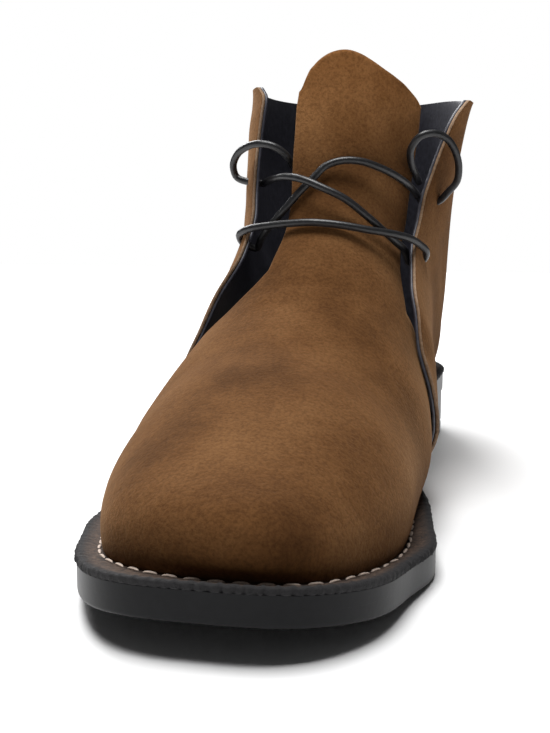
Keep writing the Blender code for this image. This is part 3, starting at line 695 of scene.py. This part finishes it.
def cut_and_apply(piece, cutters):
    """Cuts the holes, then keeps the result as the piece's own mesh."""
    for cutter in cutters:
        cut = piece.modifiers.new("hole", "BOOLEAN")
        cut.object = cutter
        cut.solver = "EXACT"
    evaluated = piece.evaluated_get(bpy.context.evaluated_depsgraph_get())
    finished = bpy.data.meshes.new_from_object(evaluated)
    piece.modifiers.clear()
    piece.data = finished
    print(piece.name, "with its holes:", len(finished.polygons), "faces")


punches = []
for hole in HOLES:
    points, faces = punch(hole, HOLE_DIAMETER / 2, 4 * WALL)
    mesh = bpy.data.meshes.new("punch")
    mesh.from_pydata(points.tolist(), [], faces)
    punches.append(add_object("punch " + hole, mesh))
cut_and_apply(quarters, punches)
cut_and_apply(quarter_lining, punches)
for cutter in punches:
    bpy.data.objects.remove(cutter)

# %% [markdown]
# ## Sole
# Midsole, outsole and heel are moulded rubber. A shoemaker thinks of them as one outline with a
# side profile carried round it, and that is how they are made: sections across the boot, each
# one a ring of the lateral profile, the top, the medial profile and the bottom.

# %% Sections carried along the outline
SOLE_STATIONS = 230
END_TURN = 0.0008                    # radians of the cosine left out at the very tips
# shares of a side's height: of a rounded corner, and the groove's place and width
ROUND_SHARE, GROOVE_PLACE, GROOVE_WIDTH = 0.2, 0.3, 0.03


def sole_edge(along, outset):
    """Lateral and medial points of the outline, moved outwards by `outset`: half widths from
    the table, drawn in to round ends."""
    values = smooth(SOLE_ROWS, along)
    half = (values[..., 1] * HEEL_WIDTH + values[..., 2] * BALL_WIDTH) / 2
    half = half * rounding(along, *HEEL_ROUNDING) * rounding(1 - along, *TOE_ROUNDING)
    edges = []
    for side in (-1, 1):
        edge = np.column_stack([values[..., 0] * BALL_WIDTH + side * half, y_at(along)])
        direction = np.gradient(edge, axis=0)
        outwards = unit(np.column_stack([-direction[:, 1], direction[:, 0]]) * side)
        edges.append(edge + outset * outwards)
    return edges


def stations(count, end=1.0):
    """Shares of the length, closer together at the round ends, as a cosine's are."""
    turn = np.linspace(END_TURN, math.pi - END_TURN, count)
    return np.unique(np.clip((1 - np.cos(turn)) / 2, 0.0, end))


def side_profile(low_round=0.0, groove=0.0, count=21):
    """Height shares and outsets of a side: a quarter round at its lower corner, and a groove as
    a bell."""
    share = (1 - np.cos(np.linspace(0.0, math.pi, count))) / 2
    outset = -groove * ridge(share, GROOVE_PLACE, GROOVE_WIDTH)
    outset -= low_round * (1 - np.sqrt(1 - (1 - np.clip(share / ROUND_SHARE, 0, 1))**2))
    return share, outset


def end_faces(sides, between, first):
    """Closes an end: the points of its two sides are joined in pairs from low to high, and the
    points across the top and the bottom belong to the first and the last pair."""
    lateral = first + np.arange(sides)
    medial = first + 2 * sides + between - 1 - np.arange(sides)
    over = first + sides + np.arange(between)
    under = first + 2 * sides + between + np.arange(between)
    faces = np.stack([lateral[1:-2], lateral[2:-1], medial[2:-1], medial[1:-2]], axis=-1).tolist()
    faces.append([*lateral[-2:], *over, *medial[:-3:-1]])
    faces.append([*medial[1::-1], *under, *lateral[:2]])
    return faces


def sole_layer(name, along, low, high, profile, inset, look, replaces, top_columns=9):
    """A layer of the sole between two heights."""
    share, outset = profile
    sides = np.stack([np.stack(sole_edge(along, o - inset)) for o in outset])
    lateral, medial = sides[:, 0], sides[:, 1]
    across = np.linspace(0.0, 1.0, top_columns)[1:-1, None, None]
    top = lateral[-1] + (medial[-1] - lateral[-1]) * across
    bottom = medial[0] + (lateral[0] - medial[0]) * across
    ring = np.concatenate([lateral, top, medial[::-1], bottom])
    height = np.concatenate([share, np.ones(top_columns - 2), share[::-1],
                             np.zeros(top_columns - 2)])[:, None]
    z = low(ring[..., 1]) + (high(ring[..., 1]) - low(ring[..., 1])) * height
    grid = np.concatenate([ring, z[..., None]], axis=-1).transpose(1, 0, 2)
    rows, columns = grid.shape[:2]
    faces = grid_faces(rows, columns, wrap=True)[:, ::-1].tolist()
    faces += end_faces(len(share), top_columns - 2, 0)
    faces += [face[::-1] for face in end_faces(len(share), top_columns - 2, (rows - 1) * columns)]
    return mesh_piece(name, grid.reshape(-1, 3), faces, (look,), (replaces,))


print("sections of the whole sole:", len(stations(SOLE_STATIONS)))

# %% Midsole, outsole and heel
sole_along = stations(SOLE_STATIONS)
heel_along = stations(SOLE_STATIONS, end=HEEL_LENGTH / LENGTH)
sole_layer("midsole_side", sole_along, lambda y: tread(y) + OUTSOLE_THICKNESS, bed,
           side_profile(), 0.0, rubber, "midsole")
sole_layer("outsole_side", sole_along, tread, lambda y: tread(y) + OUTSOLE_THICKNESS,
           side_profile(low_round=0.0006), 0.0, rubber, "outsole")
sole_layer("heel_block", heel_along, lambda y: 0.0 * y, lambda y: tread(y) - CLEARANCE,
           side_profile(low_round=0.0005, groove=0.0004, count=33), 0.0005, rubber,
           "heel")

# %% [markdown]
# ## Welt
# The welt is the strip the upper is sewn to. Its top is roughed brown leather and its outer edge
# is dyed black and nicked by the trimming knife. It is a flat profile carried round the outline,
# from under the upper's foot to the edge, with bumps along the edge from a few summed waves.

# %% The line where the upper meets the welt
FOOT_SAMPLES = 400                   # loops along each side
FOOT_NEAR = 0.0012                   # metres from the wanted height that still count as on it
SAME_PLACE = 1e-7                    # metres below which two points of a line are one
SOFTENING = 7                        # points on each side that the running mean takes in


def foot_lift(loop):
    """Outer face over the last: nothing at the vamp, most of a wall at the quarters."""
    return (WALL - LAP) * ease(loop, 5.6, 6.0)


def foot_line(height, offset=0.0):
    """Line of the upper's outer face at a height above the bed, from the medial side of the
    heel round the toe to the lateral side, as the last's point nearest that height on each
    loop, moved out along the bed by `offset`."""
    loops = np.concatenate([np.geomspace(0.01, 1.0, 60)[:-1], np.linspace(1.0, 9.5, FOOT_SAMPLES)])
    halves = []
    for first, last in ((-88.0, 10.0), (268.0, 170.0)):
        angles = np.linspace(first, last, 600)
        grid_loops, grid_angles = np.meshgrid(loops, angles, indexing="ij")
        points = last_shell(grid_loops, grid_angles, foot_lift(grid_loops))
        gap = np.abs(points[..., 2] - bed(points[..., 1]) - height)
        outer = np.argmin(gap, axis=1)
        halves.append(points[np.arange(len(loops)), outer])
    line = np.concatenate([halves[0][::-1], halves[1]])
    line = line[np.abs(line[:, 2] - bed(line[:, 1]) - height) < FOOT_NEAR]
    line[:, 2] = bed(line[:, 1]) + height
    return even(line, 640, offset)


def even(line, count, offset=0.0):
    """The same line with points at even steps, softened by a short running mean and moved
    sideways, away from the boot's middle, by `offset`."""
    steps = np.linalg.norm(np.diff(line, axis=0), axis=1)
    line = line[np.concatenate([[True], steps > SAME_PLACE])]
    travelled = distances(line)
    line = points_at(np.linspace(0.0, travelled[-1], count), travelled, line)
    weights = np.hanning(2 * SOFTENING + 1)
    weights /= weights.sum()
    ends = (np.repeat(line[:1], SOFTENING, axis=0), np.repeat(line[-1:], SOFTENING, axis=0))
    padded = np.concatenate([ends[0], line, ends[1]])
    line = np.stack([np.convolve(column, weights, mode="valid") for column in padded.T], axis=-1)
    ahead = np.gradient(line, axis=0)
    return line + offset * unit(np.stack([-ahead[:, 1], ahead[:, 0], 0 * ahead[:, 2]], axis=-1))


print(f"the quarters' foot stands {foot_lift(6.0) * 1000:.1f} mm off the last")

# %% Welt
WELT_STATIONS = 900
WELT_REACH = 0.0001                  # past the sole's outline
WELT_INSIDE = 0.0165                 # how far in from the outline its profile starts


def welt_edge(place):
    """Nicks of the trimming knife: summed waves of the distance along the edge, in metres."""
    wave = np.sin(place * 2100 + 1.3 * np.sin(place * 310)) + 0.7 * np.sin(place * 3700 + 2.0)
    return 0.00036 * wave * (0.6 + 0.4 * np.sin(place * 90))


def welt_ring():
    """Outline of the welt all the way round: a closed line of evenly spaced points."""
    lateral, medial = sole_edge(stations(500), 0.0)
    closed = np.concatenate([lateral, medial[::-1], lateral[:1]])
    travelled = distances(closed)
    at = np.linspace(0.0, travelled[-1], WELT_STATIONS, endpoint=False)
    return points_at(at, travelled, closed), at


def outwards_of(line):
    """Unit directions square to a closed flat line, away from its middle."""
    step = np.roll(line, -1, axis=0) - np.roll(line, 1, axis=0)
    out = unit(np.stack([step[:, 1], -step[:, 0]], axis=-1))
    facing = np.sum(out * (line - line.mean(axis=0)), axis=1).mean()
    return out if facing > 0 else -out


ring, ring_place = welt_ring()
ring_out = outwards_of(ring)
# share of the width from inside to the edge, height share, for one turn of the profile
WELT_PROFILE = np.array([
    (0.00, 0.40), (0.25, 0.42), (0.45, 0.46), (0.58, 0.54), (0.68, 0.66), (0.78, 0.82),
    (0.87, 0.97), (0.94, 1.00), (0.985, 0.90), (1.00, 0.60), (0.995, 0.20), (0.99, 0.02),
    (0.92, 0.0), (0.0, 0.0),
])
width_share, height_share = WELT_PROFILE[:, 0], WELT_PROFILE[:, 1]
edge_bumps = welt_edge(ring_place)[None, :] * (width_share**6)[:, None]
reach = WELT_REACH - WELT_INSIDE * (1 - width_share)[:, None] + edge_bumps
flat = ring[None] + reach[..., None] * ring_out[None]
rim_wave = np.sin(ring_place * 1700 + 2.2)
rim_wave += 0.8 * np.sin(ring_place * 2900 + np.sin(ring_place * 170))
surface_wave = 0.00020 * rim_wave[None] * ridge(width_share, 0.92, 0.12)[:, None]
welt_z = bed(flat[..., 1]) + WELT_THICKNESS * height_share[:, None] + surface_wave * (
    height_share > 0.5)[:, None]
welt_grid = np.concatenate([flat, welt_z[..., None]], axis=-1)
welt_rows, welt_columns = welt_grid.shape[:2]
welt_faces = grid_faces(welt_rows, welt_columns, wrap=True)
closing = grid_faces(2, welt_columns, wrap=True)
closing = np.where(closing < welt_columns, closing + (welt_rows - 1) * welt_columns,
                   closing - welt_columns)
welt_faces = np.concatenate([welt_faces, closing])[:, ::-1]
welt = mesh_piece("welt_strip", welt_grid.reshape(-1, 3), welt_faces, (welt_leather,),
                  ("welt",))
welt_uv = welt.data.uv_layers.new(name="width")
corner_points = np.empty(len(welt.data.loops), dtype=np.int32)
welt.data.loops.foreach_get("vertex_index", corner_points)
uv = np.stack([width_share[corner_points // welt_columns], 0.0 * corner_points], axis=-1)
welt_uv.data.foreach_set("uv", uv.astype(np.float32).ravel())

# %% [markdown]
# ## Stitches
# Thick cream thread holds the upper to the welt. Each stitch is a short arched bead, and all of
# them are one small shape placed many times: its points are turned into the frame of each place
# on the line, the way along it, the way out and the way up, in one product of arrays.

# %% Beads along a line
LOOK_AHEAD = 0.0004                  # metres before and after a bead that give its direction


def bead(length, width, height, rings=7, sides=8):
    """One stitch: an ellipse carried along an arch, drawn in to points at both ends."""
    along = np.linspace(-1.0, 1.0, rings)[:, None]
    turn = np.linspace(0.0, 2 * math.pi, sides, endpoint=False)[None, :]
    body = np.sqrt(np.clip(1 - along**4, 0.02, None))
    x = along * length / 2 + 0 * turn
    y = body * np.cos(turn) * width / 2
    z = body * np.sin(turn) * height / 2 + height * 0.35 * (1 - along**2)
    faces = grid_faces(rings, sides, wrap=True)
    caps = np.array([[0, i, i + 1, i + 2] for i in range(1, sides - 2, 2)])
    ends = np.concatenate([caps, caps[:, ::-1] + (rings - 1) * sides])
    return np.stack([x, y, z], axis=-1).reshape(-1, 3), np.concatenate([faces, ends])


def stitch_row(name, line, upwards, pitch, shape, look, sway=0.0, seed=3):
    """Beads at even steps along a line, each turned a little about its way up, at random with a
    spread of `sway` radians."""
    travelled = distances(line)
    count = int(travelled[-1] / pitch)
    at = (np.arange(count) + 0.5) * travelled[-1] / count
    middle, up = (points_at(at, travelled, values) for values in (line, upwards))
    ahead = unit(points_at(at + LOOK_AHEAD, travelled, line)
                 - points_at(at - LOOK_AHEAD, travelled, line))
    side = unit(np.cross(up, ahead))
    up = np.cross(ahead, side)
    turn = np.random.default_rng(seed).normal(0.0, sway, count)[:, None]
    ahead, side = (ahead * np.cos(turn) + side * np.sin(turn),
                   side * np.cos(turn) - ahead * np.sin(turn))
    points, faces = shape
    placed = middle[:, None] + (points[None, :, 0:1] * ahead[:, None]
                                + points[None, :, 1:2] * side[:, None]
                                + points[None, :, 2:3] * up[:, None])
    all_faces = faces[None] + (np.arange(count) * len(points))[:, None, None]
    return mesh_piece(name, placed.reshape(-1, 3), all_faces.reshape(-1, 4), (look,))


print("one bead has", len(bead(1.0, 1.0, 1.0)[1]), "faces")

# %% Welt stitches and seam stitches
STITCH_PITCH = 0.0064
SEAM_HEIGHT = 0.55 * WELT_THICKNESS
stitch_line = foot_line(SEAM_HEIGHT, 0.0012)
stitch_line = stitch_line[stitch_line[:, 1] < 0.024]
stitch_up = np.broadcast_to((0.0, 0.0, 1.0), stitch_line.shape)
stitch_row("welt_stitches", stitch_line, stitch_up, STITCH_PITCH, bead(0.0047, 0.0010, 0.0007),
           thread, sway=0.10)


def edge_line(side, inset, count=400):
    """Line on the quarters a little inside the front edge, with the way out of the wall."""
    rows = np.linspace(QUARTER_EDGE[0][2] + 0.02, 14.6, count)
    share = np.full(count, inset if side == "medial" else 1 - inset)
    outer = quarter_skin(rows, share)
    up = unit(outer - quarter_skin(rows, share, 0.001))
    kept = outer[:, 2] > bed(outer[:, 1]) + 0.004
    return outer[kept], up[kept]


for side in ("medial", "lateral"):
    line, up = edge_line(side, 0.0105)
    stitch_row(side + "_edge_stitches", line, up, 0.0031, bead(0.0024, 0.0007, 0.0005),
               brown_thread)

# %% [markdown]
# ## Laces
# A round waxed lace runs under the quarters, out of the low holes, across the tongue as a bar,
# and in two crossings to the top holes. Each end comes out of its top hole, arches over the
# front edge and goes back inside. A cord is a curve with a round bevel, read at even steps from
# a smooth line through places on the last and in the holes.

# %% The lace's line
# loop, angle and height above the last, or a hole and the distance outwards through it
LACE_CROSSINGS = (
    (10.22, 30.5, -0.0002), (10.14, 34.5, 0.0006), (10.02, 40.0, 0.0014), (9.88, 47.0, 0.0021),
    (9.72, 58.0, 0.0024), (9.60, 70.0, 0.0020), (9.43, 78.7, 0.0014), (9.13, 87.1, 0.0009),
    (8.76, 92.5, 0.0007), (8.27, 101.9, 0.0006), (7.86, 112.0, 0.0004), (7.76, 122.0, -0.0004),
    (7.72, 131.0, -0.0007), ("lateral low", -0.0020), ("lateral low", 0.0), ("lateral low", 0.0026),
    (7.69, 134.2, 0.0070), (7.64, 129.5, 0.0068), (7.58, 124.5, 0.0056), (7.52, 118.0, 0.0034),
    (7.41, 106.0, 0.0014), (7.35, 92.0, 0.0009), (7.36, 78.0, 0.0010), (7.47, 62.5, 0.0024),
    (7.68, 50.0, 0.0046), (7.86, 42.0, 0.0062), (8.00, 36.0, 0.0068), (8.08, 30.0, 0.0071),
    ("medial low", 0.0028), ("medial low", 0.0), ("medial low", -0.0020),
    (8.06, 30.5, -0.0005), (7.98, 35.0, 0.0006), (7.88, 42.0, 0.0007), (7.80, 51.6, 0.0012),
    (7.84, 63.7, 0.0022), (8.01, 75.7, 0.0036), (8.20, 86.4, 0.0043), (8.50, 96.8, 0.0044),
    (8.88, 108.6, 0.0026), (9.20, 119.0, 0.0006), (9.48, 126.5, -0.0003), (9.70, 132.0, -0.0006),
)
LACE_LOOP_MEDIAL = (
    (10.22, 30.5, -0.0002), (10.27, 29.0, -0.0004), ("medial high", -0.0022), ("medial high", 0.0),
    ("medial high", 0.0030), (10.72, 26.6, 0.0110), (11.00, 27.6, 0.0140), (11.38, 30.2, 0.0156),
    (11.82, 33.8, 0.0158), (12.28, 38.5, 0.0143), (12.27, 43.2, 0.0118), (11.88, 46.6, 0.0092),
    (11.31, 46.5, 0.0054), (10.92, 42.0, 0.0026), (10.78, 36.5, 0.0013), (10.72, 31.5, 0.0004),
)
LACE_LOOP_LATERAL = (
    (9.70, 132.0, -0.0006), (9.77, 133.5, -0.0006),
    ("lateral high", -0.0022), ("lateral high", 0.0), ("lateral high", 0.0030),
    (10.45, 141.2, 0.0092), (10.76, 139.2, 0.0108), (11.03, 135.1, 0.0106), (11.07, 129.0, 0.0090),
    (10.92, 122.8, 0.0067), (10.56, 117.0, 0.0030), (10.18, 114.5, -0.0012), (9.82, 116.5, -0.0064),
)
LACE_STEP = 0.0012


def lace_line(rows, first=0.0):
    """Even steps along the smooth curve through the rows' places, from `first` along it."""
    places = np.array([hole_place(*row)[0] if isinstance(row[0], str)
                       else last_shell(*[np.float64(value) for value in row]) for row in rows])
    table = np.column_stack([distances(places), places])
    fine = smooth(table, np.linspace(0.0, table[-1, 0], 60 * len(rows)))
    travelled = distances(fine)
    count = int(round((travelled[-1] - first) / LACE_STEP)) + 1
    return points_at(np.linspace(first, travelled[-1], count), travelled, fine)


def lace(name, line, replaced):
    """A cord as a curve with a round bevel and closed ends."""
    curve = bpy.data.curves.new(name, "CURVE")
    curve.dimensions = "3D"
    curve.bevel_depth = LACE_DIAMETER / 2
    curve.bevel_resolution = 4
    curve.use_fill_caps = True
    spline = curve.splines.new("POLY")
    spline.points.add(len(line) - 1)
    spline.points.foreach_set("co", np.column_stack([line, np.ones(len(line))]).ravel())
    spline.use_smooth = True
    curve.materials.append(waxed_cord)
    piece = add_object(name, curve)
    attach(piece, "root")
    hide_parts(replaced)
    length = distances(line)[-1]
    print(f"{name}: {length * 1000:.0f} mm")
    return piece, length


lace("laced_crossings", lace_line(LACE_CROSSINGS), "lace_crossings")
for side, rows in (("medial", LACE_LOOP_MEDIAL), ("lateral", LACE_LOOP_LATERAL)):
    line = lace_line(rows, CLEARANCE)
    loop_piece, length = lace(f"laced_loop_{side}", line, f"lace_loop_{side}")

# %% [markdown]
# ## Insole
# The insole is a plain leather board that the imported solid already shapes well, so it keeps its
# mesh and only gets its finish.

# %% Insole finish
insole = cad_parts["insole"]
for index in range(len(insole.material_slots)):
    insole.material_slots[index].material = insole_leather
print("insole materials:", len(insole.material_slots))

# %% [markdown]
# ## Floor and light
# The boot stands on white paper under soft light. A wide lamp above lights the top of the vamp,
# a second one high behind draws its shadow forwards, and so the front of the toe lies in shade.
# The room adds a faint glow. The camera sees it brighter than it shines, as plain white paper.

# %% Floor, lamps and world
floor_mesh = bpy.data.meshes.new("floor")
FLOOR_HALF = 1.0
floor_mesh.from_pydata([(-FLOOR_HALF, -FLOOR_HALF, 0), (FLOOR_HALF, -FLOOR_HALF, 0),
                        (FLOOR_HALF, FLOOR_HALF, 0), (-FLOOR_HALF, FLOOR_HALF, 0)], [],
                       [(0, 1, 2, 3)])
paper, _ = finish_named("white floor", (0.92, 0.92, 0.92), 0.75)
floor_mesh.materials.append(paper)
floor = add_object("floor", floor_mesh)


def lamp(name, place, aim, size, power):
    """A square soft lamp at a place, aimed at a point: tipped by the angle whose tangent is the
    flat distance over the drop, then turned towards the point."""
    data = bpy.data.lights.new(name, "AREA")
    data.size = size
    data.energy = power
    made = add_object(name, data)
    made.location = place
    direction = np.asarray(aim) - np.asarray(place)
    flat = math.hypot(direction[0], direction[1])
    made.rotation_euler = (math.atan2(flat, -direction[2]), 0.0,
                           math.atan2(-direction[0], direction[1]))


BOOT_MIDDLE = (0.0, -0.10, 0.06)
lamp("top lamp", (-0.20, -0.20, 2.40), BOOT_MIDDLE, 1.3, 74.0)
lamp("back lamp", (-1.2, 1.6, 1.6), BOOT_MIDDLE, 1.3, 52.0)
ROOM_GLOW, ROOM_WHITE = 0.07, 1.0    # the room as a light, and as the paper behind the boot

world = bpy.data.worlds.new("white room")
world.use_nodes = True
glow = world.node_tree.nodes["Background"]
backdrop = world.node_tree.nodes.new("ShaderNodeBackground")
for background, strength in ((glow, ROOM_GLOW), (backdrop, ROOM_WHITE)):
    background.inputs["Color"].default_value = (1.0, 1.0, 1.0, 1.0)
    background.inputs["Strength"].default_value = strength
seen = world.node_tree.nodes.new("ShaderNodeLightPath")
chosen = world.node_tree.nodes.new("ShaderNodeMixShader")
world_links = world.node_tree.links
world_links.new(seen.outputs["Is Camera Ray"], chosen.inputs[0])
world_links.new(glow.outputs[0], chosen.inputs[1])
world_links.new(backdrop.outputs[0], chosen.inputs[2])
world_links.new(chosen.outputs[0], world.node_tree.nodes["World Output"].inputs["Surface"])
bpy.context.scene.world = world
bpy.context.scene.view_settings.view_transform = "Standard"
print("lamps and floor are in place")
